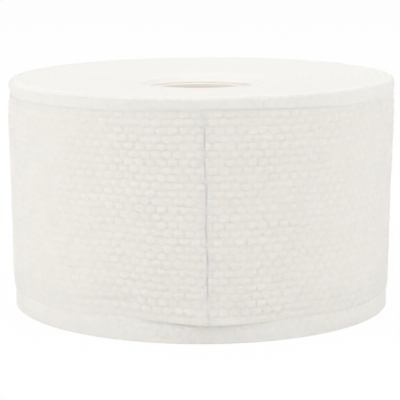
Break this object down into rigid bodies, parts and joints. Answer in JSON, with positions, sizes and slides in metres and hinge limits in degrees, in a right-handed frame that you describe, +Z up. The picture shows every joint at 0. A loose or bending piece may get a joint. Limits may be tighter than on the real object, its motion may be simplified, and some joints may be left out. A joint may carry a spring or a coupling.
{
  "type": "disposable face towel roll",
  "caption": "Short wide roll of pearl-embossed non-woven face towel wound on a kraft paperboard tube, with a perforated tear line, standing on its slit end.",
  "frame": {"origin": "on the axis of the tube, in the plane of the foot that the roll stands on", "axes": "+Z up along the axis of the roll, -Y towards the front with the perforated tear line, +X to the right seen from the front"},
  "size_m": [0.168, 0.1692, 0.1],
  "materials": {
    "nonwoven_towel": "white pearl-embossed spunlace non-woven, matt",
    "kraft_board": "spiral-wound kraft paperboard, matt"
  },
  "bodies": {
    "root": {"towel_web": "nonwoven_towel", "core_tube": "kraft_board"}
  },
  "joints": []
}
